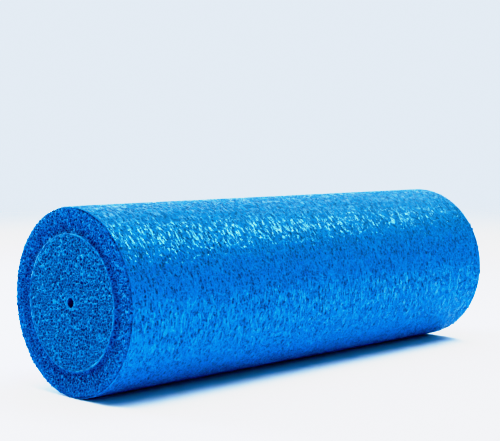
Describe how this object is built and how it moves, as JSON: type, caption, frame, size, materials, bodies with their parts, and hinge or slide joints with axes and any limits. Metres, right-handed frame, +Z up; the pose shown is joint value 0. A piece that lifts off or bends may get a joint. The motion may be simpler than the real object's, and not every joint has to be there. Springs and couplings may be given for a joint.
{
  "type": "foam roller",
  "caption": "Cylindrical closed-cell foam roller: a foam core rod with a narrow centre hole inside a thick foam jacket with a pebbled outer skin.",
  "frame": {"origin": "on the surface that the roller lies on, under the middle of its length", "axes": "+X along the roller's axis, +Y across it, +Z up; the roller lies on its side"},
  "size_m": [0.45, 0.15, 0.1499],
  "materials": {
    "core_foam": "matte cut foam with open cells",
    "weld_foam": "satin, dense melted foam",
    "jacket_foam": "matte cut foam with open cells",
    "skin_foam": "semi-gloss pebbled skin"
  },
  "bodies": {
    "root": {"core_rod": "core_foam", "weld_layer": "weld_foam", "jacket": "jacket_foam", "outer_skin": "skin_foam"}
  },
  "joints": []
}
